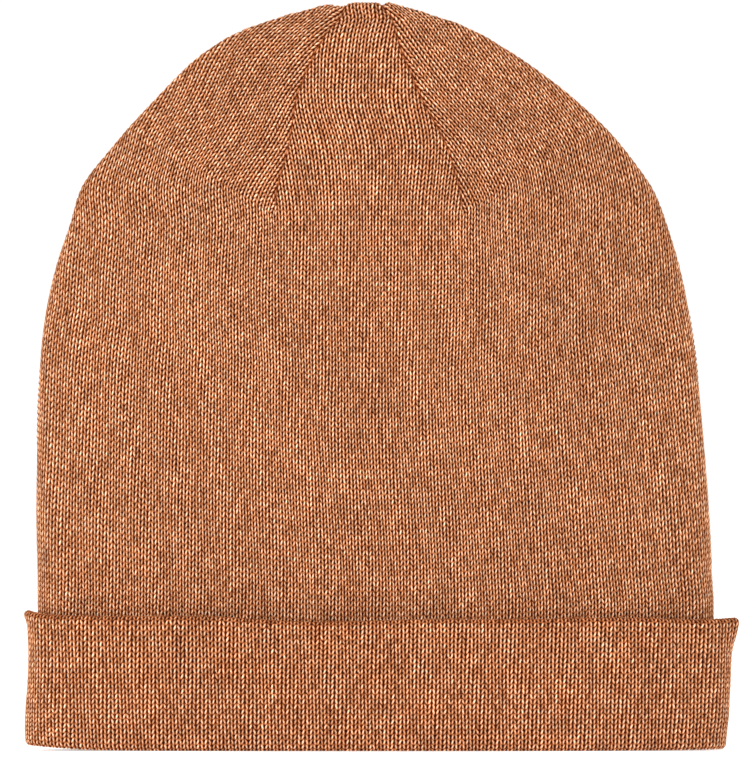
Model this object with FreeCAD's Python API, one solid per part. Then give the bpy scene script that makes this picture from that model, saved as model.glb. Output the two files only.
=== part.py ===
import FreeCAD, Part

import math
import os

# A soft double-layer knitted hat with a turned-up cuff, standing on the cuff's fold.
# It is one long knitted tube, closed at both ends and pushed in on itself: the outer half is
# the shell, the inner half is the lining, and the stretch around the fold between them is
# turned up as the cuff. Millimetres, +Z up to the crown, the front faces -Y.

# Overall sizes
hat_width = 220.6            # outer body from side to side, just above the cuff
hat_depth = 78.0             # outer body from front to back, softly filled
hat_height = 244.0           # from the cuff's fold to the top of the crown
cuff_height = 43.0
cuff_flare = 2.4             # how much further out the cuff stands at its top

# Fabric and the room between its layers
fabric_thickness = 1.4
lining_gap = 1.6             # air between the lining and the shell, where the seams lie
cuff_clearance = 0.6         # between the shell and the inner layer of the cuff
cuff_layer_gap = 0.5
fold_thickness = 1.5         # the cuff's outer layer, which wraps the fold and the brim
fold_radius = 1.2
fold_clearance = 0.4         # between stacked layers at the fold

# Shape of the body and the crown
straight_above_cuff = 4.0    # the body keeps its width this far above the cuff
side_fullness = 3.7
side_roundness = 1.6
front_fullness = 2.6
front_roundness = 1.5
lens_at_cuff = 1.1           # 1 is an ellipse seen from above, more is pointed at the sides
lens_at_crown = 1.36
edge_softness = 0.15
crest_share = 0.995          # the crown is closed this far up
outline_points = 48
crown_sections = 13

# Darts that shape the crown
dart_half_spacing = 30.5     # from the middle to a dart's lower end
dart_length_up = 61.6        # height from a dart's lower end to its upper end
dart_top_half_spacing = 10.2
dart_curve = 1.5             # 1 is a straight dart; above 1 it bends in towards the top
dart_points = 7
dart_top_drop = 8.0          # from the top of the crown down to the darts' upper ends
side_dart_length_up = 49.0   # the darts along the hat's two sides
seam_width = 3.0
seam_clearance = 0.05        # between a seam or thread and the layers beside it

# Threads that close the crown
thread_radius = 0.4
loop_bend_radius = 1.2
loop_half_length = 4.0
tack_spacing = 5.0

# Care label, sewn by its top edge inside the centre back
label_width = 35.0
label_height = 18.0
label_thickness = 0.4
label_top = 74.5
label_gap = 0.45
label_stitch_height = 2.0
label_stitch_clearance = 0.5

# Each surface is placed by its distance outside the lining's inner face
lining_inner = 0.0
lining_outer = lining_inner + fabric_thickness
shell_inner = lining_outer + lining_gap
shell_outer = shell_inner + fabric_thickness
backing_inner = shell_outer + cuff_clearance
backing_outer = backing_inner + fabric_thickness
face_inner = backing_outer + cuff_layer_gap
face_outer = face_inner + fold_thickness

# The shell's seams and the lining's share the room between the layers
seam_thickness = (lining_gap - 3 * seam_clearance) / 2

half_width = hat_width / 2 - shell_outer
half_depth = hat_depth / 2 - shell_outer
straight_height = cuff_height + straight_above_cuff
crown_rise = (hat_height - shell_outer - straight_height) / crest_share

# Lower edges of the layers, stacked over the fold
lining_bottom = fold_thickness + fold_clearance
backing_bottom = fold_thickness + cuff_layer_gap
shell_bottom = backing_bottom + fabric_thickness + fold_clearance


def outline_at(share, angle):
    """Point of the lining's inner outline, share of the way up the crown."""
    width = half_width * (1 - share ** side_fullness) ** (1 / side_roundness)
    depth = half_depth * (1 - share ** front_fullness) ** (1 / front_roundness)
    lens = lens_at_cuff + (lens_at_crown - lens_at_cuff) * min(1.0, 2 * share)
    sine = math.sin(angle)
    softened = (sine ** 2 + edge_softness ** 2) / (1 + edge_softness ** 2)
    return width * math.cos(angle), depth * sine * softened ** ((lens - 1) / 2)


def outward_at(share, angle):
    """Unit direction out of the outline, and how fast the outline draws in with height."""
    step = 1e-4
    x_before, y_before = outline_at(share, angle - step)
    x_after, y_after = outline_at(share, angle + step)
    length = math.hypot(x_after - x_before, y_after - y_before)
    out_x = (y_after - y_before) / length
    out_y = (x_before - x_after) / length
    if share < step:
        return out_x, out_y, 0.0
    x_low, y_low = outline_at(share - step, angle)
    x_high, y_high = outline_at(share + step, angle)
    drift = (x_high - x_low) * out_x + (y_high - y_low) * out_y
    return out_x, out_y, -drift / (2 * step * crown_rise)


def closed_wire(points):
    """Smooth closed wire in four quarters, with the same parameters for every outline."""
    curve = Part.BSplineCurve()
    parameters = [float(index) for index in range(len(points) + 1)]
    curve.interpolate(Points=points, PeriodicFlag=True, Parameters=parameters)
    quarter = len(points) / 4
    edges = [curve.toShape(side * quarter, (side + 1) * quarter) for side in range(4)]
    return Part.Wire(edges)


def outline_wire(share, offset, height):
    """Outline of the surface at this distance outside the lining's inner face.

    An outer surface is also lifted, evenly up to its own thickness at the crest, so the
    outline is set out by what is left of that distance where the crown slopes.
    """
    lift = share / crest_share
    points = []
    for index in range(outline_points):
        angle = 2 * math.pi * index / outline_points
        x, y = outline_at(share, angle)
        out_x, out_y, draw = outward_at(share, angle)
        tilt = math.atan(draw)
        reach = offset * (1 - lift * math.sin(tilt)) / math.cos(tilt)
        points.append(FreeCAD.Vector(x + reach * out_x, y + reach * out_y, height))
    return closed_wire(points)


def crown_height(share, offset):
    """Height of a surface's outline, share of the way up the crown."""
    return straight_height + share * (crown_rise + offset / crest_share)


def crown_shares():
    """Heights of the crown's outlines, closer together towards the top."""
    shares = []
    for index in range(1, crown_sections + 1):
        left = 1 - index / crown_sections
        shares.append(crest_share * (1 - left ** 2))
    return shares


def dome(offset, bottom):
    """Solid inside one layer's surface, from its lower edge to the closed crown."""
    wires = []
    for step in range(4):
        height = bottom + (straight_height - bottom) * step / 3
        wires.append(outline_wire(0.0, offset, height))
    for share in crown_shares():
        wires.append(outline_wire(share, offset, crown_height(share, offset)))
    return Part.makeLoft(wires, True, False)


def layer(inner, outer, bottom):
    """Closed wall between two surfaces of the hat, open at the bottom."""
    return dome(outer, bottom).cut(dome(inner, bottom))


def tube(offset, bottom, top, flare=cuff_flare):
    """Solid inside a surface of the cuff, which leans out a little towards its top."""
    low = outline_wire(0.0, offset + flare * bottom / cuff_height, bottom)
    high = outline_wire(0.0, offset + flare * top / cuff_height, top)
    return Part.makeLoft([low, high], True, False)


def edges_at_height(shape, height):
    """Edges of a shape that lie level at this height."""
    found = []
    for edge in shape.Edges:
        low = edge.BoundBox.ZMin
        high = edge.BoundBox.ZMax
        if abs(low - height) < 0.01 and abs(high - height) < 0.01:
            found.append(edge)
    return found


def make_cuff_face():
    """Outer layer of the cuff: it wraps the fold at the bottom and the brim at the top."""
    solid = tube(face_outer, 0.0, cuff_height)
    solid = solid.cut(tube(face_inner, fold_thickness, cuff_height - fold_thickness))
    solid = solid.cut(tube(lining_inner, 0.0, fold_thickness, 0.0))
    solid = solid.cut(tube(backing_inner, cuff_height - fold_thickness, cuff_height))
    rims = edges_at_height(solid, 0.0) + edges_at_height(solid, cuff_height)
    return solid.makeFillet(fold_radius, rims)


def make_cuff_backing():
    """Inner layer of the cuff, with its foot under the shell's lower edge."""
    top = cuff_height - fold_thickness - fold_clearance
    foot_top = backing_bottom + fabric_thickness
    solid = tube(backing_outer, backing_bottom, top)
    solid = solid.cut(tube(backing_inner, foot_top, top))
    return solid.cut(tube(shell_inner, backing_bottom, foot_top, 0.0))


def dart_slab(side, facing):
    """Upright slab along a front or back dart; facing is -1 at the front."""
    bottom = hat_height - dart_top_drop - dart_length_up
    half = seam_width / 2
    inner_edge = []
    outer_edge = []
    for point in range(dart_points):
        rise = point / (dart_points - 1)
        x = dart_half_spacing - (dart_half_spacing - dart_top_half_spacing) * rise ** dart_curve
        z = bottom + rise * dart_length_up
        inner_edge.append(FreeCAD.Vector(side * (x - half), 0, z))
        outer_edge.append(FreeCAD.Vector(side * (x + half), 0, z))
    corners = inner_edge + outer_edge[::-1]
    face = Part.Face(Part.makePolygon(corners + corners[:1]))
    return face.extrude(FreeCAD.Vector(0, facing * hat_depth, 0))


def side_dart_slab(side):
    """Upright slab along a dart that runs up the hat's side edge."""
    corner = FreeCAD.Vector(
        min(0, side * hat_width), -seam_width / 2, hat_height - dart_top_drop - side_dart_length_up)
    return Part.makeBox(hat_width, seam_width, side_dart_length_up, corner)


def make_dart_seams(name, inner, outer, bottom):
    """The six sewn dart seams of one layer, as strips of turned-in fabric."""
    wall = layer(inner, outer, bottom)
    seams = {}
    for side, hand in ((-1, "left"), (1, "right")):
        for facing, end in ((-1, "front"), (1, "back")):
            strip = wall.common(dart_slab(side, facing))
            seams["%s_dart_seam_%s_%s" % (name, end, hand)] = strip
        seams["%s_dart_seam_side_%s" % (name, hand)] = wall.common(side_dart_slab(side))
    return seams


def make_thread_loop(height):
    """Long loop of thread that draws the crown together, lying level."""
    loop = None
    for side in (-1, 1):
        centre = FreeCAD.Vector(side * loop_half_length, 0, height)
        turn = Part.makeTorus(loop_bend_radius, thread_radius, centre, FreeCAD.Vector(0, 0, 1))
        block = Part.makeBox(
            2 * loop_bend_radius, 4 * loop_bend_radius, 4 * thread_radius,
            FreeCAD.Vector(
                min(centre.x, centre.x + side * 2 * loop_bend_radius),
                -2 * loop_bend_radius, height - 2 * thread_radius),
        )
        half_turn = turn.common(block)
        start = FreeCAD.Vector(-loop_half_length, side * loop_bend_radius, height)
        run = Part.makeCylinder(thread_radius, 2 * loop_half_length, start, FreeCAD.Vector(1, 0, 0))
        pieces = half_turn.fuse(run)
        loop = pieces if loop is None else loop.fuse(pieces)
    return loop


def make_crown_closing_thread():
    """Thread that closes the shell's crown, just under its top."""
    return make_thread_loop(crown_height(crest_share, shell_inner) - seam_clearance - thread_radius)


def make_lining_closing_thread():
    """Thread that closes the lining's crown, on the side of the head."""
    return make_thread_loop(crown_height(crest_share, lining_inner) - seam_clearance - thread_radius)


def make_crown_tack():
    """Two short stays that tie the lining's crown to the shell's."""
    low = crown_height(crest_share, lining_outer)
    high = crown_height(crest_share, shell_inner)
    stays = []
    for side in (-1, 1):
        foot = FreeCAD.Vector(side * tack_spacing / 2, 0, low)
        stays.append(Part.makeCylinder(thread_radius, high - low, foot))
    return Part.makeCompound(stays)


def back_wall_at(x, height):
    """How far back the lining's inner face lies at this place near the centre back."""
    share = max(0.0, (height - straight_height) / crown_rise)
    low = 0.0
    high = math.pi / 2
    for _ in range(40):
        angle = (low + high) / 2
        if outline_at(share, angle)[0] > x:
            low = angle
        else:
            high = angle
    return outline_at(share, low)[1]


def label_face():
    """How far back the label's outer face lies, clear of the curved lining behind it."""
    return back_wall_at(label_width / 2, label_top + label_stitch_height) - label_gap


def make_care_label():
    """Plain woven label that hangs by its top edge."""
    corner = FreeCAD.Vector(
        -label_width / 2, label_face() - label_thickness, label_top - label_height)
    return Part.makeBox(label_width, label_thickness, label_height, corner)


def make_care_label_stitching():
    """Strip of stitches that holds the label's top edge to the lining."""
    bottom = label_top + label_stitch_clearance
    front = label_face() - label_thickness
    block = Part.makeBox(
        label_width, hat_depth, label_stitch_height,
        FreeCAD.Vector(-label_width / 2, front, bottom))
    strip = block.common(dome(lining_inner, lining_bottom))
    strip.translate(FreeCAD.Vector(0, -seam_clearance, 0))
    return strip


def make_hat():
    """Every piece of the hat, by name."""
    parts = {
        "outer_shell": layer(shell_inner, shell_outer, shell_bottom),
        "inner_lining": layer(lining_inner, lining_outer, lining_bottom),
        "cuff_face": make_cuff_face(),
        "cuff_backing": make_cuff_backing(),
        "crown_closing_thread": make_crown_closing_thread(),
        "lining_closing_thread": make_lining_closing_thread(),
        "crown_tack": make_crown_tack(),
        "care_label": make_care_label(),
        "care_label_stitching": make_care_label_stitching(),
    }
    shell_seam_outer = shell_inner - seam_clearance
    lining_seam_inner = lining_outer + seam_clearance
    parts.update(make_dart_seams(
        "shell", shell_seam_outer - seam_thickness, shell_seam_outer, shell_bottom))
    parts.update(make_dart_seams(
        "lining", lining_seam_inner, lining_seam_inner + seam_thickness, lining_bottom))
    return parts


os.makedirs("parts", exist_ok=True)
for node, shape in make_hat().items():
    shape.exportStep(os.path.join("parts", node + ".step"))
    print(node, "valid", shape.isValid(), "solids", len(shape.Solids), "volume", round(shape.Volume, 1))
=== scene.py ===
import math

import bpy
import numpy as np
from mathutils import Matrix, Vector


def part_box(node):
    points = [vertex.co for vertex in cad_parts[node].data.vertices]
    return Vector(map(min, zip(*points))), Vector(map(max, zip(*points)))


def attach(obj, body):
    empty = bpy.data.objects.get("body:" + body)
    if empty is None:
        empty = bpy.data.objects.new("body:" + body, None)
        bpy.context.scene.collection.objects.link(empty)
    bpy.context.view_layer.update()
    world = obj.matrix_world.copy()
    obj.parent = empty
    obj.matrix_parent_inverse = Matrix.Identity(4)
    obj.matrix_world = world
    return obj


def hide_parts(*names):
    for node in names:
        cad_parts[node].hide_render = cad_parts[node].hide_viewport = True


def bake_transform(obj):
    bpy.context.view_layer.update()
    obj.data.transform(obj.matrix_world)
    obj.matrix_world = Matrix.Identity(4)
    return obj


# A fine-knit double-layer beanie with a turned-up cuff, stitch by stitch. The knitted layers
# are grids laid along the wales (the columns of stitches) and the courses (the rows), so that
# every stitch is raised from the mesh and the stitches lean into the dart seams of the crown.
# Lengths are worked out in millimetres and turned into metres when a mesh is made.

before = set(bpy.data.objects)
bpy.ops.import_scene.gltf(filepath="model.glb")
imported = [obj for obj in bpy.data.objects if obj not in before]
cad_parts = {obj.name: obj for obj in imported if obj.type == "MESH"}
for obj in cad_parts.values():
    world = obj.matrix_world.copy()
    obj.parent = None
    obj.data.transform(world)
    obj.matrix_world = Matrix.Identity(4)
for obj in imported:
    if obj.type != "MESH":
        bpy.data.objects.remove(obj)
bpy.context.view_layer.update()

MM = 0.001
rng = np.random.default_rng(7)


# ---------------------------------------------------------------- sizes, from the frame
def corners_of(node_name):
    """The lowest and the highest corner of one of the frame's nodes, in millimetres."""
    return [np.array(corner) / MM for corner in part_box(node_name)]


shell_low, shell_high = corners_of("outer_shell")
lining_low = corners_of("inner_lining")[0]
cuff_high = corners_of("cuff_face")[1]

# offsets are counted outwards from the lining's inner face
FABRIC = 1.4                         # thickness of one knitted layer
CUFF_FABRIC = 1.5                    # and of the cuff's face
LINING_GAP = 1.6
CUFF_EASE = 0.6                      # between the shell and the cuff
CUFF_LAYER_GAP = 0.5                 # between the cuff's two layers
LINING_OFFSET = 0.35                 # the lining's knitted face, sunk by the stitches' depth
SHELL_OFFSET = 2 * FABRIC + LINING_GAP
BACKING_OFFSET = SHELL_OFFSET + CUFF_EASE
CUFF_OFFSET = BACKING_OFFSET + FABRIC + CUFF_LAYER_GAP + CUFF_FABRIC
CUFF_HEIGHT = cuff_high[2]
CUFF_FLARE = 2.4                     # the cuff stands this much further out at its brim

HALF_WIDTH = shell_high[0] - SHELL_OFFSET
HALF_DEPTH = shell_high[1] - SHELL_OFFSET
STRAIGHT_HEIGHT = CUFF_HEIGHT + 4.0  # the body's outline stays the same up to here
CREST_SHARE = 0.995                  # of the crown's rise, where the outline is almost closed
CROWN_RISE = (shell_high[2] - SHELL_OFFSET - STRAIGHT_HEIGHT) / CREST_SHARE
SIDE_FULLNESS, SIDE_ROUNDNESS = 3.7, 1.6       # how the width draws in over the crown
FRONT_FULLNESS, FRONT_ROUNDNESS = 2.6, 1.5     # and the depth
LENS_AT_CUFF, LENS_AT_CROWN = 1.1, 1.36        # 1 for an ellipse, more for a pointed lens
EDGE_SOFTNESS = 0.15                           # rounds the lens at the hat's sides

# ---------------------------------------------------------------- the knitting
QUARTER_WALES = 55                   # wales from the middle of the front to the side
ROUND_WALES = 4 * QUARTER_WALES
CUFF_WALES = 49                      # the same for the cuff, which is stretched wider
GORE_WALES = 15                      # half the front panel, at the darts' lower ends
SEAM_WALES = 10.5                    # lost by a side panel along a front dart
PANEL_PITCH = 2.0                    # from wale to wale in the side panels of the crown
SIDE_STRETCH = 0.68                  # least share of the cloth's run counted where it turns back
COURSES_UNDER_CUFF = 26
COURSES_TO_DARTS = 77
COURSES_IN_CROWN = 42
COURSES_OVER_CREST = 3
DART_COURSE = COURSES_UNDER_CUFF + COURSES_TO_DARTS
CREST_COURSE = DART_COURSE + COURSES_IN_CROWN
STITCH_RELIEF = 0.62                 # from the valleys to the tops of the yarn
DART_FOOT = 174.4                    # height of the front darts' lower ends
DART_BOTTOM = 30.5                   # half the front panel's width there
DART_TOP = 6.3                       # and where the darts reach the crest
SIDE_LIFT = 12.0                     # courses leave the cuff this much higher at the sides
SIDE_BOW = 1.6                       # power of their rise from the middle to the sides
FINE_COURSES = 12                    # courses below the cuff's top that are laid in full detail
YARN_MIDDLE = 0.7                    # level of the yarn that lies on the surface itself
CUFF_YARN_MIDDLE = 0.75
CUFF_COURSE_PITCH = 1.64
JITTER_ROUNDS = (256, ROUND_WALES, 2, 4)       # courses, wales, legs and kinds of unevenness


# ---------------------------------------------------------------- the hat's surface
def outline_at(share, angle):
    """Quarter outline of the lining's inner face, share of the way up the crown."""
    width = HALF_WIDTH * (1 - share ** SIDE_FULLNESS) ** (1 / SIDE_ROUNDNESS)
    depth = HALF_DEPTH * (1 - share ** FRONT_FULLNESS) ** (1 / FRONT_ROUNDNESS)
    lens = LENS_AT_CUFF + (LENS_AT_CROWN - LENS_AT_CUFF) * np.minimum(1.0, 2 * share)
    sine = np.sin(angle)
    softened = (sine ** 2 + EDGE_SOFTNESS ** 2) / (1 + EDGE_SOFTNESS ** 2)
    return width * np.cos(angle), depth * sine * softened ** ((lens - 1) / 2)


def outward_at(share, angle):
    """Level direction out of the outline, and how fast the outline draws in with height."""
    step = 1e-4
    x_before, y_before = outline_at(share, angle - step)
    x_after, y_after = outline_at(share, angle + step)
    length = np.hypot(x_after - x_before, y_after - y_before)
    out_x = (y_after - y_before) / length
    out_y = (x_before - x_after) / length
    inside = np.clip(share, step, CREST_SHARE)
    x_low, y_low = outline_at(inside - step, angle)
    x_high, y_high = outline_at(inside + step, angle)
    drift = (x_high - x_low) * out_x + (y_high - y_low) * out_y
    draw = np.where(share < step, 0.0, -drift / (2 * step * CROWN_RISE))
    return out_x, out_y, draw


def share_at(height, offset):
    """How far up the crown this height is, on the surface at this offset."""
    return np.clip((height - STRAIGHT_HEIGHT) / (CROWN_RISE + offset / CREST_SHARE), 0, CREST_SHARE)


def surface_point(share, angle, offset):
    """Place in a quarter of the surface, and the unit normal there."""
    x, y = outline_at(share, angle)
    out_x, out_y, draw = outward_at(share, angle)
    tilt = np.arctan(draw)
    reach = offset * (1 - share / CREST_SHARE * np.sin(tilt)) / np.cos(tilt)
    level = np.cos(tilt)
    return x + reach * out_x, y + reach * out_y, level * out_x, level * out_y, np.sin(tilt)


class Surface:
    """One surface of the hat, with places along its outlines counted as shares of their length."""

    def __init__(self, offset, shares=240, turns=360, places=260):
        self.offset = offset
        rise = np.linspace(0, 1, shares)
        self.shares = CREST_SHARE * (1 - (1 - rise) ** 2)
        angles = np.linspace(math.pi / 2, 0, turns)
        grid_share, grid_angle = np.meshgrid(self.shares, angles, indexing="ij")
        x, y = surface_point(grid_share, grid_angle, offset)[:2]
        runs = np.hypot(np.diff(x, axis=1), np.diff(y, axis=1))
        lengths = np.concatenate([np.zeros((shares, 1)), np.cumsum(runs, axis=1)], axis=1)
        self.quarter_length = lengths[:, -1]
        self.places = np.linspace(0, 1, places)
        rows = range(shares)
        shares_along = lengths / lengths[:, -1:]
        self.angles = np.array([np.interp(self.places, shares_along[row], angles) for row in rows])
        self.x = np.array([np.interp(self.places, shares_along[row], x[row]) for row in rows])
        widths = np.maximum(np.diff(x, axis=1), SIDE_STRETCH * runs)
        spans = np.concatenate([np.zeros((shares, 1)), np.cumsum(widths, axis=1)], axis=1)
        self.spans = np.array([np.interp(self.places, shares_along[row], spans[row]) for row in rows])

    def row_of(self, share):
        return np.interp(share, self.shares, np.arange(len(self.shares)))

    def pick(self, table, share, place):
        """Value of a table between its rows and columns."""
        row = self.row_of(share)
        column = np.clip(place, 0, 1) * (len(self.places) - 1)
        row_low = np.minimum(row.astype(int), len(self.shares) - 2)
        column_low = np.minimum(column.astype(int), len(self.places) - 2)
        up, along = row - row_low, column - column_low
        low = table[row_low, column_low] * (1 - along) + table[row_low, column_low + 1] * along
        high = table[row_low + 1, column_low] * (1 - along)
        high = high + table[row_low + 1, column_low + 1] * along
        return low * (1 - up) + high * up

    def point(self, height, place):
        """Place and normal at this height, this share of the way from the middle to the side."""
        share = share_at(height, self.offset)
        angle = self.pick(self.angles, share, place)
        return surface_point(share, angle, self.offset)

    def length_at(self, height):
        return np.interp(share_at(height, self.offset), self.shares, self.quarter_length)

    def line_at(self, table, height):
        """A table's values at every place along the outline at this height."""
        row = self.row_of(float(share_at(height, self.offset)))
        low = min(int(row), len(self.shares) - 2)
        return table[low] * (1 - (row - low)) + table[low + 1] * (row - low)

    def place_at(self, span, height):
        """Share of the quarter's length at which the outline at each height has this span."""
        row = self.row_of(share_at(height, self.offset))
        low = np.minimum(row.astype(int), len(self.shares) - 2)
        up = (row - low)[:, None]
        lines = self.spans[low] * (1 - up) + self.spans[low + 1] * up
        after = np.clip((lines < span[:, None]).sum(axis=1), 1, len(self.places) - 1)
        each = np.arange(len(span))
        before, beyond = lines[each, after - 1], lines[each, after]
        part = np.clip((span - before) / np.maximum(beyond - before, 1e-6), 0, 1)
        return (after - 1 + part) / (len(self.places) - 1)

    def even_places(self, count_shares, height):
        """Places at these shares of the outline's whole span."""
        line = self.line_at(self.spans, height)
        return np.interp(count_shares, line / line[-1], self.places)

    def side_heights(self, samples=1000):
        """Length along the side edge above the straight body, and the height it reaches."""
        heights = np.linspace(STRAIGHT_HEIGHT, self.top(), samples)
        share = share_at(heights, self.offset)
        x = surface_point(share, np.zeros_like(share), self.offset)[0]
        runs = np.hypot(np.diff(x), np.diff(heights))
        return np.concatenate([[0], np.cumsum(runs)]), heights

    def top(self):
        return STRAIGHT_HEIGHT + CREST_SHARE * CROWN_RISE + self.offset


def share_between(value, low, high):
    return np.clip((value - low) / (high - low), 0, 1)


def smooth(value, low, high):
    share = share_between(value, low, high)
    return share * share * (3 - 2 * share)


# ---------------------------------------------------------------- stitches laid on the surface
def dart_half_width(rise):
    """Half the front panel's width: the darts rise straight, then curve in to the crest."""
    return DART_BOTTOM - (DART_BOTTOM - DART_TOP) * rise ** 1.5


def lay_courses(surface, courses, columns, bottom):
    """Height, place and wale of every grid point in a quarter, for these courses, with what
    is drawn together on a seam and how far each point is from the nearest seam.

    The courses bow up towards the sides, because a side wale takes a longer way to the crest
    with as many stitches. In the crown the wales end on the darts: those of the front panel
    and of the side panel on the dart between them, and the side panel's last ones on the dart
    along the hat's side.
    """
    wales = np.linspace(0, QUARTER_WALES, columns)
    sigma = wales / QUARTER_WALES
    along, side_height = surface.side_heights()
    top = surface.top()
    pitch = (DART_FOOT - STRAIGHT_HEIGHT) / COURSES_TO_DARTS
    side_pitch = (along[-1] - SIDE_LIFT) / (COURSES_TO_DARTS + COURSES_IN_CROWN)
    shape = (len(courses), columns)
    height, place = np.zeros(shape), np.zeros(shape)
    wale = np.tile(wales, (len(courses), 1))
    pinned = np.zeros(shape, bool)
    gap = np.full(shape, 1e3)
    for row, course in enumerate(courses):
        course = min(course, CREST_COURSE)
        above = course - COURSES_UNDER_CUFF
        if above <= 0:
            level = course / COURSES_UNDER_CUFF
            centre = bottom + (STRAIGHT_HEIGHT - bottom) * level
            height[row] = centre + SIDE_LIFT * smooth(level, 0, 0.6) * sigma ** SIDE_BOW
            place[row] = surface.even_places(sigma, centre)
            continue
        side = np.interp(SIDE_LIFT + side_pitch * above, along, side_height)
        rise = max(0.0, (above - COURSES_TO_DARTS) / COURSES_IN_CROWN)
        centre = STRAIGHT_HEIGHT + pitch * min(above, COURSES_TO_DARTS) + (top - DART_FOOT) * rise
        half = dart_half_width(rise)
        inner = half / (DART_BOTTOM / GORE_WALES + 0.33 * smooth(rise, 0.0, 0.5))
        outer = GORE_WALES + SEAM_WALES * rise
        seam_place = float(np.interp(half, surface.line_at(surface.x, centre), surface.places))
        length = float(surface.length_at((centre + side) / 2))
        spans = surface.line_at(surface.spans, centre)
        seam_span = float(np.interp(seam_place, surface.places, spans))
        side_span = float(surface.line_at(surface.spans, side)[-1])
        reach = math.hypot(side_span - seam_span, side - centre)
        last = min(QUARTER_WALES, outer + reach / PANEL_PITCH)
        past = share_between(QUARTER_WALES - last, 0, 20)
        inside = np.clip(wales / inner, 0, 1)
        outside = share_between(wales, outer, last)
        panelled = smooth(above, 35, COURSES_TO_DARTS)
        panel_bow = 1.21 * outside - 0.21 * outside ** 2
        bow = (1 - panelled) * sigma ** SIDE_BOW + panelled * panel_bow
        front = wales <= (inner + outer) / 2
        height[row] = centre + (side - centre) * bow
        beyond = surface.place_at(seam_span + (side_span - seam_span) * outside, height[row])
        beyond = np.where(outside >= 1, 1, beyond)
        panels = np.where(front, seam_place * inside, beyond)
        even = surface.even_places(np.clip(wales / last, 0, 1), (centre + side) / 2)
        place[row] = (1 - panelled) * even + panelled * panels
        seam = (wales > inner) & (wales < outer) & (rise > 0)
        edge = wales > last
        pinned[row] = seam | edge
        wale[row] = np.where(seam, np.where(front, inner, outer), np.minimum(wales, last))
        from_seam = np.abs(place[row] - seam_place) * length + 4 * (1 - smooth(rise, 0.0, 0.06))
        from_side = (1 - place[row]) * length + 2 + 3 * (1 - smooth(past, 0.0, 0.1))
        gap[row] = np.minimum(from_seam, from_side)
    return height, place, wale, pinned, gap


def stitch_height(wale, course, jitter):
    """Height of the yarn from 0 in the valleys to 1, at these wale and course counts.

    Each stitch shows two legs that close together towards its top. A leg swells in its middle
    and goes under its neighbours at both ends.
    """
    column = np.floor(wale)
    across = wale - column - 0.5
    columns = np.mod(column.astype(int), jitter.shape[1])
    best = np.zeros_like(wale)
    for step in (0, -1, 1):
        row = np.floor(course) + step
        up = course - row
        rows = np.mod(row.astype(int), jitter.shape[0])
        for side in (0, 1):
            noise = jitter[rows, columns, side]
            lean = 0.20 + 0.05 * noise[..., 1]
            middle = (2 * side - 1) * (0.25 + lean * (0.5 - up)) + 0.025 * noise[..., 0]
            swell = np.sqrt(np.clip(1 - ((up - 0.5) / 0.68) ** 2, 0, 1))
            thick = (0.17 + 0.015 * noise[..., 2]) * (0.55 + 0.45 * swell)
            ridge = np.sqrt(np.clip(1 - ((across - middle) / thick) ** 2, 0, 1))
            level = (0.90 + 0.10 * noise[..., 3]) * swell
            best = np.maximum(best, ridge * level)
    return best


def loose_wave(x, z, phase):
    """Slow unevenness of hand-laid cloth, about -1 to 1."""
    wave = np.sin(x / 23.0 + 1.7 * np.sin(z / 41.0 + phase) + phase)
    wave = wave + np.sin(z / 29.0 + 1.3 * np.sin(x / 37.0 + 2 * phase))
    wave = wave + 0.6 * np.sin((x + z) / 13.0 + 3 * phase)
    return wave / 2.6


def full_round(quarter):
    """A quarter's values, from the middle out, laid round the hat from the left side."""
    inwards = quarter[:, ::-1]
    half = np.concatenate([inwards[:, :-1], quarter[:, :-1]], axis=1)
    return np.concatenate([half, half], axis=1)


def round_signs(columns):
    """The sign of x and the sign of y for every column round the hat, from the left side."""
    minus, plus = -np.ones(columns - 1), np.ones(columns - 1)
    sign_x = np.concatenate([minus, plus, plus, minus])
    sign_y = np.concatenate([minus, minus, plus, plus])
    return sign_x, sign_y


def wales_round(quarter_wale, quarter_wales):
    """The wale count round the hat, from 0 at the left side, for a quarter's wale distances."""
    flipped = quarter_wale[:, ::-1]
    front_left = quarter_wales - flipped[:, :-1]
    front_right = quarter_wales + quarter_wale[:, :-1]
    back_right = 3 * quarter_wales - flipped[:, :-1]
    back_left = 3 * quarter_wales + quarter_wale[:, :-1]
    return np.concatenate([front_left, front_right, back_right, back_left], axis=1)


# ---------------------------------------------------------------- meshes
def grid_faces(index, closed_rows=False):
    """Quads of a grid of vertex numbers that closes round its columns."""
    right = np.roll(index, -1, axis=1)
    if closed_rows:
        low, high = index, np.roll(index, -1, axis=0)
        low_right, high_right = right, np.roll(right, -1, axis=0)
    else:
        low, high = index[:-1], index[1:]
        low_right, high_right = right[:-1], right[1:]
    return np.stack([low, low_right, high_right, high], axis=-1).reshape(-1, 4)


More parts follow.
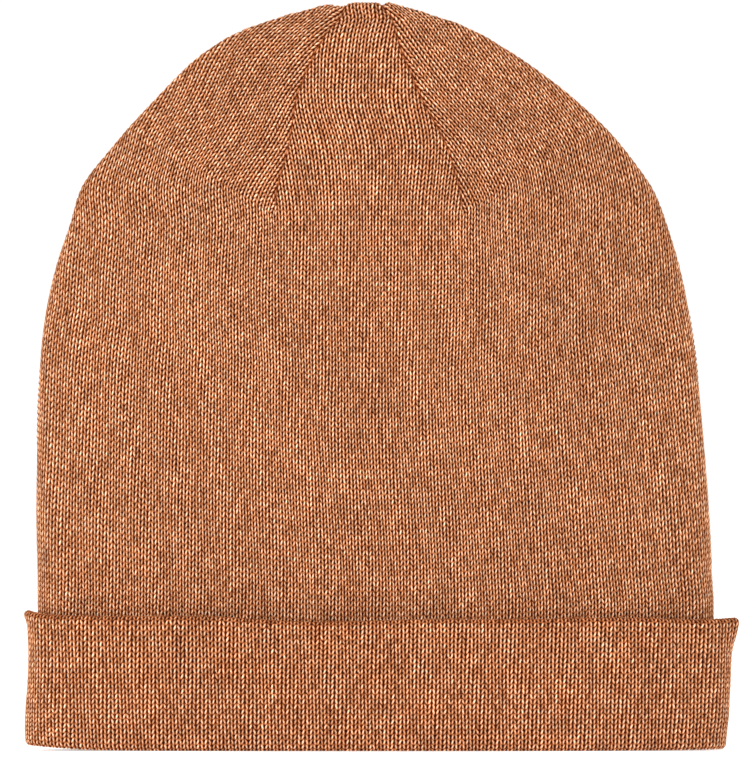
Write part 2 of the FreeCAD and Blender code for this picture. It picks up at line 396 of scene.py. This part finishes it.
def build_mesh(name, points, quads, corner_data, vertex_data):
    """Mesh from points in millimetres and quads, some of which have shrunk to triangles.

    corner_data holds UV layers, as values for each quad's four corners.
    """
    same = [quads[:, k] == quads[:, (k + 1) % 4] for k in range(4)]
    shrunk = sum(s.astype(int) for s in same)
    opposite = (quads[:, 0] == quads[:, 2]) | (quads[:, 1] == quads[:, 3])
    keep = (shrunk < 2) & ~opposite
    quads = quads[keep]
    corner_data = {key: value[keep] for key, value in corner_data.items()}
    drop = np.zeros(quads.shape, bool)
    for k in range(4):
        drop[:, k] = quads[:, k] == quads[:, (k + 1) % 4]
    used = np.unique(quads)
    renumber = np.full(len(points), -1)
    renumber[used] = np.arange(len(used))
    loops = renumber[quads][~drop]
    sizes = 4 - drop.sum(axis=1)
    starts = np.concatenate([[0], np.cumsum(sizes)[:-1]])
    mesh = bpy.data.meshes.new(name)
    mesh.vertices.add(len(used))
    mesh.vertices.foreach_set("co", (points[used] * MM).astype(np.float32).ravel())
    mesh.loops.add(len(loops))
    mesh.loops.foreach_set("vertex_index", loops.astype(np.int32))
    mesh.polygons.add(len(sizes))
    mesh.polygons.foreach_set("loop_start", starts.astype(np.int32))
    mesh.update(calc_edges=True)
    for key, value in corner_data.items():
        layer = mesh.uv_layers.new(name=key)
        layer.data.foreach_set("uv", value[~drop].astype(np.float32).ravel())
    for key, value in vertex_data.items():
        attribute = mesh.attributes.new(key, "FLOAT", "POINT")
        attribute.data.foreach_set("value", value[used].astype(np.float32))
    mesh.validate()
    mesh.polygons.foreach_set("use_smooth", np.ones(len(mesh.polygons), bool))
    piece = bpy.data.objects.new(name, mesh)
    bpy.context.scene.collection.objects.link(piece)
    return piece


def corner_values(grid):
    """Values of a grid at the four corners of its quads; the last column closes the round."""
    low, high = grid[:-1], grid[1:]
    return np.stack([low[:, :-1], low[:, 1:], high[:, 1:], high[:, :-1]], axis=-1)


def uv_layer(u, v):
    """Two grids of values as one UV layer, at the corners of the grid's quads."""
    return np.stack([corner_values(u).reshape(-1, 4), corner_values(v).reshape(-1, 4)], axis=-1)


def even_uv(rows, columns):
    """A UV layer spread evenly over this many rows and columns of quads."""
    u = np.arange(columns + 1)[None, :] / columns * np.ones((rows + 1, 1))
    v = np.arange(rows + 1)[:, None] / rows * np.ones((1, columns + 1))
    return uv_layer(u, v)


def close_round(grid, period=0):
    """The grid with its first column repeated at the end, where it counts a whole round more."""
    return np.concatenate([grid, grid[:, :1] + period], axis=1)


def repeat_last(grid, count):
    """The grid with its last row repeated this many times more."""
    return np.concatenate([grid, np.repeat(grid[-1:], count, axis=0)])


def lean(x, z):
    """The hat stands a little uneven: its crown leans left, the front panel most of all."""
    shift = -2.2 * smooth(z, 50, 115) - 4.2 * smooth(z, 196, 240) + 2.6 * smooth(z, 232, 246)
    panel = -2.6 * np.exp(-((z - 211) / 11) ** 2)
    panel = panel + 1.8 * smooth(z, 224, 237) * (1 - smooth(z, 238, 244))
    return shift + panel * np.exp(-(x / 38) ** 2)


def settle(x, z):
    """Where the standing cloth has drawn in or filled out along its two sides."""
    left = 1.4 * np.exp(-((z - 104) / 26) ** 2) - 2.0 * np.exp(-((z - 184) / 9) ** 2)
    left = left + 2.1 * np.exp(-((z - 214) / 13) ** 2)
    right = -0.6 + 0.9 * np.exp(-((z - 182) / 9) ** 2) - 1.6 * np.exp(-((z - 212) / 19) ** 2)
    return np.where(x < 0, left, right * smooth(z, 47, 60)) * smooth(np.abs(x), 10, 62)


def close_over_crest(x, y, height, normals, closing):
    """More rows over the crest, where the front and the back close along a short line."""
    turn = closing[:, None] * math.pi / 2
    crest_x = np.repeat(x[-1:], len(closing), axis=0) * (1 - 0.10 * closing[:, None])
    crest_y = y[-1:] * np.cos(turn)
    crest_z = height[-1:] + 0.5 * np.sin(turn) * np.ones_like(crest_y)
    tip_x, tip_y = [normal[-1:] * np.cos(turn) for normal in normals[:2]]
    tip_z = np.sqrt(np.clip(1 - tip_x ** 2 - tip_y ** 2, 0, 1))
    below = (x, y, height, *normals)
    above = (crest_x, crest_y, crest_z, tip_x, tip_y, tip_z)
    return [np.concatenate(pair) for pair in zip(below, above)]


def sew(points, pins):
    """Vertex numbers of a grid whose pinned columns are one vertex in each row.

    The first and the last row are the crest's two rims, which are sewn shut, front to back.
    """
    rows, columns = pins.shape
    each = np.arange(columns)
    starts = pins & ~np.roll(pins, 1, axis=1)
    first = np.maximum.accumulate(np.where(starts, each, -1), axis=1)
    first = np.where(first < 0, first[:, -1:], first)
    index = np.arange(rows * columns).reshape(rows, columns)
    index = np.take_along_axis(index, np.where(pins, first, each), axis=1)
    mirror = (columns - each) % columns
    front = each <= columns // 2
    for row in (0, rows - 1):
        middle = (points[index[row]] + points[index[row][mirror]]) / 2
        index[row] = index[row][np.where(front, each, mirror)]
        points[index[row]] = middle
    return index


def knit_shell(name, offset, facing, columns_per_wale, rows_per_course, bottom, relief, wall):
    """A knitted layer of the body and crown. facing is 1 for stitches outside, -1 for inside."""
    columns = QUARTER_WALES * columns_per_wale + 1
    fine_from = COURSES_UNDER_CUFF - FINE_COURSES
    hidden = np.arange(0, fine_from, 2 / rows_per_course)
    shown = np.arange(fine_from, CREST_COURSE, 1 / rows_per_course)
    courses = np.concatenate([hidden, shown, [CREST_COURSE]])
    surface = Surface(offset)
    height, place, wale, pinned, seam_gap = lay_courses(surface, courses, columns, bottom)
    x, y, *normals = surface.point(height, place)

    count = COURSES_OVER_CREST * rows_per_course
    closing = np.arange(1, count + 1) / count
    x, y, height, *normals = close_over_crest(x, y, height, normals, closing)
    wale, pinned, seam_gap = [repeat_last(grid, count) for grid in (wale, pinned, seam_gap)]
    courses = np.concatenate([courses, CREST_COURSE + COURSES_OVER_CREST * closing])

    # the stitches, which flatten on the seams and end over the crest
    wale_round = wales_round(wale, QUARTER_WALES)
    gap = full_round(seam_gap)
    course_grid = np.repeat(courses[:, None], wale_round.shape[1], axis=1)
    jitter = rng.normal(0, 0.5, JITTER_ROUNDS).clip(-1, 1)
    drift = 0.10 * np.sin(course_grid / 7.0 + wale_round * 0.9) * smooth(gap, 0, 6)
    yarn = stitch_height(wale_round + drift, course_grid, jitter)
    on_seam = 0.45 + 0.55 * smooth(gap, 0.0, 0.6)
    past_crest = course_grid - CREST_COURSE
    on_crest = 1 - smooth(past_crest, COURSES_OVER_CREST - 0.6, COURSES_OVER_CREST)
    yarn = yarn * on_seam * on_crest

    sign_x, sign_y = round_signs(columns)
    base_x, base_y, base_z = full_round(x) * sign_x, full_round(y) * sign_y, full_round(height)
    nx, ny, nz = [full_round(normal) for normal in normals]
    nx, ny = nx * sign_x, ny * sign_y

    # the cloth is drawn in along the seams, wavy above the cuff and gathered at the crest
    push = relief * (yarn - YARN_MIDDLE)
    push = push - 0.20 * np.exp(-(gap / 0.8) ** 2) + 0.15 * np.exp(-((gap - 3.2) / 1.8) ** 2)
    if facing > 0:
        above_cuff = smooth(base_z, STRAIGHT_HEIGHT, STRAIGHT_HEIGHT + 40)
        push = push + 0.55 * loose_wave(base_x, base_z, 0.6 + np.sign(base_y)) * above_cuff
        gather = smooth(base_z, 222, 243) * (1 - 0.5 * smooth(base_z, 243, 245))
        push = push + 0.2 * gather * np.sin(wale_round * 2 * math.pi / 3.1)
        push = push - 0.9 * (1 - on_crest)
    base_x = base_x + nx * push * facing
    base_y = base_y + ny * push * facing
    base_z = base_z + nz * push * facing
    base_x = base_x + lean(base_x, base_z) + settle(base_x, base_z)
    if facing > 0:
        dent = -1.2 * np.exp(-((base_x + 11.5) / 2.2) ** 2)
        dent = dent - 0.5 * np.exp(-((base_x - 2.4) / 1.0) ** 2)
        slope = -0.06 * np.clip(base_x - 6.0, 0, 30)
        base_z = base_z + (dent + slope - 0.5) * smooth(base_z, 234, 243.5)

    # the wall's other face, on far fewer courses, closes the layer to a solid
    last = len(courses) - 1
    back_rows = np.append(np.arange(0, last, 6 * rows_per_course), last)
    depth = -facing * (wall + relief * (yarn[back_rows] - YARN_MIDDLE))
    both_faces = []
    for base, normal in ((base_x, nx), (base_y, ny), (base_z, nz)):
        inner = base[back_rows] + normal[back_rows] * depth
        both_faces.append(np.concatenate([inner[::-1], base]))
    points = np.stack(both_faces, axis=-1).reshape(-1, 3)
    pins = full_round(pinned)
    pins = np.concatenate([pins[back_rows][::-1], pins])
    rows, round_columns = pins.shape
    quads = grid_faces(sew(points, pins))

    wale_all = np.concatenate([wale_round[back_rows][::-1], wale_round])
    course_all = np.concatenate([course_grid[back_rows][::-1], course_grid])
    knit = uv_layer(close_round(wale_all, ROUND_WALES), close_round(course_all))
    bake = even_uv(rows - 1, round_columns)
    if facing < 0:
        quads, knit, bake = quads[:, ::-1], knit[:, ::-1], bake[:, ::-1]
    shown_yarn = yarn + 0.38 * (1 - on_seam * on_crest)
    back_yarn = np.full((len(back_rows), round_columns), 0.35)
    yarn_all = np.concatenate([back_yarn, shown_yarn])
    return build_mesh(name, points, quads, {"OFBake": bake, "knit": knit},
                      {"relief": yarn_all.ravel()})


def arc(centre, radius, start, end, steps, knitted):
    """The cuff's profile round an arc, after the arc's first point."""
    turns = start + (end - start) * np.arange(1, steps + 1) / steps
    return [(centre[0] + radius * math.cos(turn), centre[1] + radius * math.sin(turn),
             math.cos(turn), math.sin(turn), knitted) for turn in turns]


def cuff_profile(rows_per_course):
    """The cuff's section, from the lip inside, under the fold, up the face and over the brim.

    Each point has its offset and height, its normal, and how much of the stitches shows there.
    """
    face, back = CUFF_OFFSET, BACKING_OFFSET
    brim = (face - back) / 2
    foot, lip, lip_offset = 1.9, 1.2, 1.35
    inwards = (-1.0, 0.0, 0.0)
    profile = [(n, z, *inwards) for n, z in ((0.25, 2.3), (0.15, 1.6))]
    profile += arc((lip_offset, lip), lip, math.pi, 1.5 * math.pi, 6, 0.6)
    profile += [(n, 0.0, 0.0, -1.0, 0.6) for n in np.linspace(lip_offset, face - foot, 14)[1:]]
    profile += arc((face - foot, foot), foot, -math.pi / 2, 0.0, 8, 1.0)
    rise = np.linspace(foot, CUFF_HEIGHT - brim, 24 * rows_per_course)[1:]
    profile += [(face, z, 1.0, 0.0, 1.0) for z in rise]
    profile += arc((back + brim, CUFF_HEIGHT - brim), brim, 0.0, math.pi, 16, 1.0)
    fall = np.linspace(CUFF_HEIGHT - brim, CUFF_HEIGHT - 10, 5 * rows_per_course)[1:]
    profile += [(back, z, -1.0, 0.0, 1.0) for z in fall]
    behind = ((back, 20.0), (back, 4.2), (back - 0.5, 3.4), (3.1, 3.3), (3.1, 2.1),
              (1.5, 1.75), (1.3, 1.55), (0.6, 1.6))
    profile += [(n, z, *inwards) for n, z in behind]
    return np.array(profile).T


def knit_cuff(name):
    """The turned-up cuff: its face, the roll over the brim, the layer behind and the fold."""
    columns_per_wale, rows_per_course = 8, 4
    columns = CUFF_WALES * columns_per_wale + 1
    sigma = np.linspace(0, 1, columns)
    n, z, out, up, knitted = cuff_profile(rows_per_course)
    # over the brim the stitches are flattened, as seen from their edge, and where the roll faces up
    # their crests are darkened as painted shade
    knitted = knitted * (1 - 0.22 * smooth(up, -0.1, 0.5) * (z > CUFF_HEIGHT / 2))
    steps = np.hypot(np.diff(n), np.diff(z))
    course = np.concatenate([[0], np.cumsum(steps)]) / CUFF_COURSE_PITCH
    flare = CUFF_FLARE * np.clip(z, 0, CUFF_HEIGHT) / CUFF_HEIGHT
    n, z, out, up, knitted = [part[:, None] for part in (n + flare, z, out, up, knitted)]

    wale_round = wales_round(np.tile(sigma * CUFF_WALES, (len(n), 1)), CUFF_WALES)
    course_grid = np.repeat(course[:, None], wale_round.shape[1], axis=1)
    jitter = rng.normal(0, 0.5, JITTER_ROUNDS).clip(-1, 1)
    drift = 0.08 * np.sin(course_grid / 5 + wale_round)
    yarn = stitch_height(wale_round + drift, course_grid, jitter) * knitted

    surface = Surface(CUFF_OFFSET)
    share = np.zeros(columns)
    place = surface.even_places(sigma, 0)
    angle = surface.pick(surface.angles, share, place)
    quarter = (*outline_at(share, angle), *outward_at(share, angle)[:2])
    base_x, base_y, out_x, out_y = [full_round(part[None, :]) for part in quarter]
    sign_x, sign_y = round_signs(columns)
    base_x, out_x = base_x * sign_x, out_x * sign_x
    base_y, out_y = base_y * sign_y, out_y * sign_y

    # the cuff's top corners stand out, and its left side is drawn in below them
    push = STITCH_RELIEF * (yarn - CUFF_YARN_MIDDLE)
    from_side = (1 - full_round(place[None, :])) * surface.quarter_length[0]
    near_side = np.exp(-(from_side / 6.0) ** 2)
    right = (sign_x > 0)[None, :]
    corner = near_side * np.where(right, 2.0 * smooth(z, 30, 42), smooth(z, 38, 42.5))
    waist = np.where(right, 0.0, 2.7) * smooth(z, 4, 34) * np.exp(-(from_side / 26.0) ** 2)
    wave = 0.5 * loose_wave(base_x, z, 2.1) * smooth(z, 3, 12)
    reach = n + corner - waist + wave + push * out
    x = base_x + reach * out_x
    y = base_y + reach * out_y
    rows, round_columns = x.shape

    # its brim rises and falls a little, and its fold leaves the table at the sides
    level = z + push * up
    edge = smooth(z, 24, CUFF_HEIGHT)
    around = np.arange(round_columns)[None, :] / round_columns * 2 * math.pi
    level = level + edge * (0.5 * np.sin(3 * around + 0.8) + 0.3 * np.sin(7 * around + 2.0))
    left_rise = 1.2 * np.exp(-(from_side / 10.0) ** 2) + 0.9 * smooth(-base_x, 0, 60)
    right_rise = 0.8 * np.exp(-(from_side / 16.0) ** 2) + 0.2 * near_side
    level = level + edge * np.where(right, right_rise, left_rise)
    level = np.maximum(level, 0.0)
    lift = np.where(right, 0.3, 1.5) * np.exp(-(from_side / 24.0) ** 2)
    level = level + lift * (1 - smooth(z, 0, 14))

    points = np.stack([x, y, level], axis=-1).reshape(-1, 3)
    quads = grid_faces(np.arange(rows * round_columns).reshape(rows, -1), closed_rows=True)
    wale_closed = close_round(wale_round, 4 * CUFF_WALES)
    wale_closed = np.concatenate([wale_closed, wale_closed[:1]])
    course_closed = close_round(course_grid)
    course_closed = np.concatenate([course_closed, course_closed[-1:] + 1])
    knit, bake = uv_layer(wale_closed, course_closed), even_uv(rows, round_columns)
    # where the stitches are flattened the colour reads a lower relief, so the upward-facing brim roll
    # gets painted shade on its crests
    relief = yarn + 0.22 * (1 - knitted)
    return build_mesh(name, points, quads, {"OFBake": bake, "knit": knit},
                      {"relief": relief.ravel()})


def lean_with_crown(node_name, node, finish):
    """A seam or thread between the layers, moved sideways with the cloth that it is sewn into."""
    mesh = node.data.copy()
    piece = bpy.data.objects.new("sewn_" + node_name, mesh)
    bpy.context.scene.collection.objects.link(piece)
    place = node.matrix_world
    points = np.empty(len(mesh.vertices) * 3, np.float32)
    mesh.vertices.foreach_get("co", points)
    turn, shift = np.array(place.to_3x3()), np.array(place.translation)
    points = (points.reshape(-1, 3) @ turn.T + shift) / MM
    points[:, 0] += lean(points[:, 0], points[:, 2]) + settle(points[:, 0], points[:, 2])
    mesh.vertices.foreach_set("co", (points * MM).astype(np.float32).ravel())
    mesh.update()
    mesh.materials.clear()
    mesh.materials.append(finish)
    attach(piece, "shell")
    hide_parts(node_name)


def hang_label(name):
    """The care label: a ribbon that hangs from its stitches and curls a little at its free end."""
    low, high = corners_of("care_label")
    across = np.linspace(-1, 1, 61)
    down = np.linspace(0, 1, 33)
    side, drop = np.meshgrid(across, down)
    thickness = 0.35
    half_width = (high[0] - low[0]) / 2 * (1 - 0.012 * np.sin(math.pi * drop))
    x = (low[0] + high[0]) / 2 + side * half_width
    z = high[2] - (high[2] - low[2]) * drop
    curl = 0.55 * drop ** 2 * side ** 2 + 0.35 * drop ** 1.5 * np.sin(2.2 * side + 0.6)
    hem = 0.10 * smooth(drop, 0.90, 0.93)
    face = low[1] - curl - hem
    back = face + thickness + hem
    rows, columns = x.shape
    points = np.concatenate([np.stack([x, face, z], axis=-1).reshape(-1, 3),
                             np.stack([x, back, z], axis=-1).reshape(-1, 3)])
    front = np.arange(rows * columns).reshape(rows, columns)
    corners = [front[:-1, :-1], front[1:, :-1], front[1:, 1:], front[:-1, 1:]]
    front_quads = np.stack(corners, axis=-1).reshape(-1, 4)
    back_quads = front_quads[:, [0, 3, 2, 1]] + rows * columns
    rim = np.concatenate([front[0, :-1], front[:-1, -1], front[-1, :0:-1], front[:0:-1, 0]])
    rim_behind = rim + rows * columns
    edge = np.stack([rim, np.roll(rim, -1), np.roll(rim_behind, -1), rim_behind], axis=-1)
    return build_mesh(name, points, np.concatenate([front_quads, back_quads, edge]), {}, {})


# ---------------------------------------------------------------- materials
def node_material(name):
    material = bpy.data.materials.new(name)
    material.use_nodes = True
    nodes, links = material.node_tree.nodes, material.node_tree.links
    shader = nodes["Principled BSDF"]
    return material, nodes, links, shader


def math_node(nodes, links, operation, first, second=None):
    node = nodes.new("ShaderNodeMath")
    node.operation = operation
    for socket, value in zip(node.inputs, (first, second)):
        if value is None:
            continue
        if isinstance(value, (int, float)):
            socket.default_value = value
        else:
            links.new(value, socket)
    return node.outputs[0]


def noise_node(nodes, links, vector, scale, detail, roughness=0.5):
    node = nodes.new("ShaderNodeTexNoise")
    node.inputs["Scale"].default_value = scale
    node.inputs["Detail"].default_value = detail
    node.inputs["Roughness"].default_value = roughness
    links.new(vector, node.inputs["Vector"])
    return node.outputs["Fac"]


def wave_node(nodes, links, vector, direction, scale, distortion=0.0):
    node = nodes.new("ShaderNodeTexWave")
    node.bands_direction = direction
    node.inputs["Scale"].default_value = scale
    node.inputs["Distortion"].default_value = distortion
    links.new(vector, node.inputs["Vector"])
    return node.outputs["Fac"]


def spread_node(nodes, links, value, least, spread):
    """A value from 0 to 1 turned into one from least to least + spread."""
    scaled = math_node(nodes, links, "MULTIPLY_ADD", value, spread)
    scaled.node.inputs[2].default_value = least
    return scaled


def add_bump(nodes, links, shader, height, distance, strength=1.0):
    bump = nodes.new("ShaderNodeBump")
    bump.inputs["Strength"].default_value = strength
    bump.inputs["Distance"].default_value = distance
    links.new(height, bump.inputs["Height"])
    links.new(bump.outputs["Normal"], shader.inputs["Normal"])


def ramp_node(nodes, links, value, stops):
    node = nodes.new("ShaderNodeValToRGB")
    elements = node.color_ramp.elements
    while len(elements) < len(stops):
        elements.new(0.5)
    for element, (position, colour) in zip(elements, stops):
        element.position = position
        element.color = (*colour, 1)
    links.new(value, node.inputs["Fac"])
    return node.outputs["Color"]


# from painted shade in the gaps between the stitches, through the yarn's own colour, to a painted
# highlight along the top of the yarn
YARN_COLOURS_PAINTED_SHADE_TO_HIGHLIGHT = (
    (0.00, (0.018, 0.0006, 0.0000)),
    (0.30, (0.086, 0.0115, 0.0008)),
    (0.55, (0.312, 0.094, 0.029)),
    (0.74, (0.670, 0.318, 0.160)),
    (1.00, (1.000, 0.820, 0.610)),
)


def wool_material(name, painted_shade_scale):
    """Heathered wool yarn, with painted shade between the stitches and a painted highlight on top of
    each leg.
    """
    material, nodes, links, shader = node_material(name)
    # a scale below 1 darkens every colour of the ramp: painted shade for a copy of the same yarn
    stops = [(level, tuple(painted_shade_scale * part for part in colour)) for level, colour in YARN_COLOURS_PAINTED_SHADE_TO_HIGHLIGHT]
    relief = nodes.new("ShaderNodeAttribute")
    relief.attribute_name = "relief"
    knit = nodes.new("ShaderNodeUVMap")
    knit.uv_map = "knit"
    place = nodes.new("ShaderNodeTexCoord").outputs["Object"]
    split = nodes.new("ShaderNodeSeparateXYZ")
    links.new(knit.outputs["UV"], split.inputs["Vector"])

    # one value for each leg of each stitch
    legs = math_node(nodes, links, "MULTIPLY", split.outputs["X"], 2.0)
    leg = math_node(nodes, links, "FLOOR", legs)
    row = math_node(nodes, links, "FLOOR", split.outputs["Y"])
    cell = nodes.new("ShaderNodeCombineXYZ")
    links.new(leg, cell.inputs["X"])
    links.new(row, cell.inputs["Y"])
    chance = nodes.new("ShaderNodeTexWhiteNoise")
    chance.noise_dimensions = "3D"
    links.new(cell.outputs["Vector"], chance.inputs["Vector"])

    # fibres run along the yarn, so their noise is drawn out along the courses' count
    stretch = nodes.new("ShaderNodeMapping")
    stretch.inputs["Scale"].default_value = (14.0, 3.0, 1.0)
    links.new(knit.outputs["UV"], stretch.inputs["Vector"])
    fibre = noise_node(nodes, links, stretch.outputs["Vector"], 1.0, 3.0, 0.65)
    heather = noise_node(nodes, links, place, 95.0, 3.0, 0.6)
    patch = noise_node(nodes, links, place, 22.0, 2.0)

    # the colour follows the yarn's height: painted shade in the valleys, painted highlight on the
    # crests
    colour = ramp_node(nodes, links, relief.outputs["Fac"], stops)
    tone = spread_node(nodes, links, chance.outputs["Value"], 0.78, 0.44)
    streak = spread_node(nodes, links, fibre, 0.70, 0.6)
    cloud = spread_node(nodes, links, heather, 0.75, 0.5)
    field = spread_node(nodes, links, patch, 0.88, 0.24)
    close_up = math_node(nodes, links, "MULTIPLY", tone, streak)
    far_off = math_node(nodes, links, "MULTIPLY", cloud, field)
    value = math_node(nodes, links, "MULTIPLY", close_up, far_off)
    tint = nodes.new("ShaderNodeMix")
    tint.data_type = "RGBA"
    tint.blend_type = "MULTIPLY"
    tint.inputs["Factor"].default_value = 1.0
    links.new(colour, tint.inputs[6])
    grey = nodes.new("ShaderNodeCombineColor")
    for channel in ("Red", "Green", "Blue"):
        links.new(value, grey.inputs[channel])
    links.new(grey.outputs["Color"], tint.inputs[7])
    links.new(tint.outputs[2], shader.inputs["Base Color"])

    links.new(spread_node(nodes, links, fibre, 0.55, 0.25), shader.inputs["Roughness"])
    shader.inputs["Specular IOR Level"].default_value = 0.04
    shader.inputs["Sheen Weight"].default_value = 0.02
    shader.inputs["Sheen Roughness"].default_value = 0.45
    shader.inputs["Sheen Tint"].default_value = (1.0, 0.62, 0.40, 1)

    # the two plies of the yarn twist round each other
    ply = wave_node(nodes, links, knit.outputs["UV"], "DIAGONAL", 1.4, 1.5)
    height = math_node(nodes, links, "ADD", fibre, math_node(nodes, links, "MULTIPLY", ply, 0.5))
    add_bump(nodes, links, shader, height, 0.00012, 0.5)
    return material


def thread_material(name, colour):
    """Twisted sewing thread."""
    material, nodes, links, shader = node_material(name)
    place = nodes.new("ShaderNodeTexCoord").outputs["Object"]
    fleck = noise_node(nodes, links, place, 900.0, 3.0)
    dark = tuple(0.6 * c for c in colour)
    links.new(ramp_node(nodes, links, fleck, [(0.3, dark), (0.7, colour)]), shader.inputs["Base Color"])
    shader.inputs["Roughness"].default_value = 0.7
    twist = wave_node(nodes, links, place, "DIAGONAL", 700.0)
    add_bump(nodes, links, shader, twist, 0.0001)
    return material


def seam_material():
    """Turned-in knitting seen from its edge: rows of loops a course apart, with painted shade between
    the rows.
    """
    material, nodes, links, shader = node_material("wool_seam")
    place = nodes.new("ShaderNodeTexCoord").outputs["Object"]
    loops = wave_node(nodes, links, place, "Z", 190.0, 2.0)
    fuzz = noise_node(nodes, links, place, 700.0, 4.0)
    mixed = math_node(nodes, links, "MULTIPLY", loops, fuzz)
    # the dark end is painted shade between the rows of loops, the light end the yarn's own colour
    shown = [(0.0, (0.10, 0.022, 0.004)), (0.6, (0.66, 0.33, 0.17))]
    links.new(ramp_node(nodes, links, mixed, shown), shader.inputs["Base Color"])
    shader.inputs["Roughness"].default_value = 0.8
    add_bump(nodes, links, shader, mixed, 0.0003)
    return material


def ribbon_material():
    """Plain woven ribbon with a fine rib."""
    material, nodes, links, shader = node_material("label_ribbon")
    place = nodes.new("ShaderNodeTexCoord").outputs["Object"]
    weft = wave_node(nodes, links, place, "Z", 900.0)
    warp = wave_node(nodes, links, place, "X", 700.0)
    weave = math_node(nodes, links, "MULTIPLY", weft, warp)
    shades = [(0.0, (0.62, 0.57, 0.50)), (1.0, (0.84, 0.80, 0.73))]
    links.new(ramp_node(nodes, links, weave, shades), shader.inputs["Base Color"])
    shader.inputs["Roughness"].default_value = 0.45
    add_bump(nodes, links, shader, weave, 0.00008)
    return material


wool = wool_material("wool_knit", 1.0)
# the lining is the same yarn at 0.9 of the brightness: painted shade for the inside of the hat
lining_wool = wool_material("wool_knit_lining", 0.9)
seam_wool = seam_material()
thread = thread_material("sewing_thread", (0.34, 0.12, 0.045))
ribbon = ribbon_material()

# ---------------------------------------------------------------- the pieces
body = knit_shell("beanie_body", SHELL_OFFSET, facing=1, columns_per_wale=8, rows_per_course=4,
                  bottom=shell_low[2], relief=STITCH_RELIEF, wall=1.0)
body.data.materials.append(wool)
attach(body, "shell")
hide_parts("outer_shell")

lining = knit_shell("beanie_lining", LINING_OFFSET, facing=-1, columns_per_wale=4,
                    rows_per_course=2, bottom=lining_low[2], relief=0.5, wall=0.8)
lining.data.materials.append(lining_wool)
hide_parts("inner_lining")
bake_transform(lining)

cuff = knit_cuff("beanie_cuff")
cuff.data.materials.append(wool)
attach(cuff, "cuff")
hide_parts("cuff_face", "cuff_backing")

rebuilt = ("outer_shell", "inner_lining", "cuff_face", "cuff_backing", "care_label")
for node_name, node in list(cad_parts.items()):
    if node_name in rebuilt:
        continue
    if node_name == "care_label_stitching":
        node.data.materials.clear()
        node.data.materials.append(thread)
    else:
        lean_with_crown(node_name, node, seam_wool if "seam" in node_name else thread)

label = hang_label("label_ribbon")
label.data.materials.append(ribbon)
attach(label, "care_label")
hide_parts("care_label")


# ---------------------------------------------------------------- floor, light and camera
def make_floor():
    bpy.ops.mesh.primitive_plane_add(size=14, location=(0, 0, 0))
    floor = bpy.context.object
    floor.name = "studio_floor"
    material, nodes, links, shader = node_material("pale_floor")
    shader.inputs["Base Color"].default_value = (0.93, 0.93, 0.93, 1)
    shader.inputs["Roughness"].default_value = 0.9
    shader.inputs["Emission Color"].default_value = (1, 1, 1, 1)
    shader.inputs["Emission Strength"].default_value = 0.35
    floor.data.materials.append(material)


def soft_light(name, place, target, size, power):
    light = bpy.data.lights.new(name, "AREA")
    light.shape = "RECTANGLE"
    light.size, light.size_y = size
    light.energy = power
    lamp = bpy.data.objects.new(name, light)
    lamp.location = place
    lamp.rotation_euler = (Vector(target) - Vector(place)).to_track_quat("-Z", "Y").to_euler()
    bpy.context.scene.collection.objects.link(lamp)


def make_world():
    world = bpy.data.worlds.new("studio")
    world.use_nodes = True
    back = world.node_tree.nodes["Background"]
    back.inputs["Color"].default_value = (1, 1, 1, 1)
    back.inputs["Strength"].default_value = 1.03
    bpy.context.scene.world = world


def make_camera():
    """Straight on from the front and level, through a long lens, as a flat product picture."""
    distance = 11.0
    picture_height = 0.2487          # shown at the hat's distance
    sideways, middle = 0.00075, 0.12045
    camera = bpy.data.cameras.new("camera")
    camera.sensor_width = 36.0
    camera.lens = camera.sensor_width * distance / picture_height
    camera.clip_end = 50
    holder = bpy.data.objects.new("camera", camera)
    holder.location = (sideways, -distance, middle)
    holder.rotation_euler = (math.pi / 2, 0, 0)
    bpy.context.scene.collection.objects.link(holder)
    bpy.context.scene.camera = holder


make_floor()
make_world()
hat_middle = (0, 0, 0.12)
soft_light("key", (-1.1, -2.0, 1.5), hat_middle, size=(0.9, 0.9), power=32)
soft_light("fill", (1.5, -2.3, 0.7), hat_middle, size=(1.4, 1.4), power=11)
make_camera()
bpy.context.scene.view_settings.view_transform = "Standard"
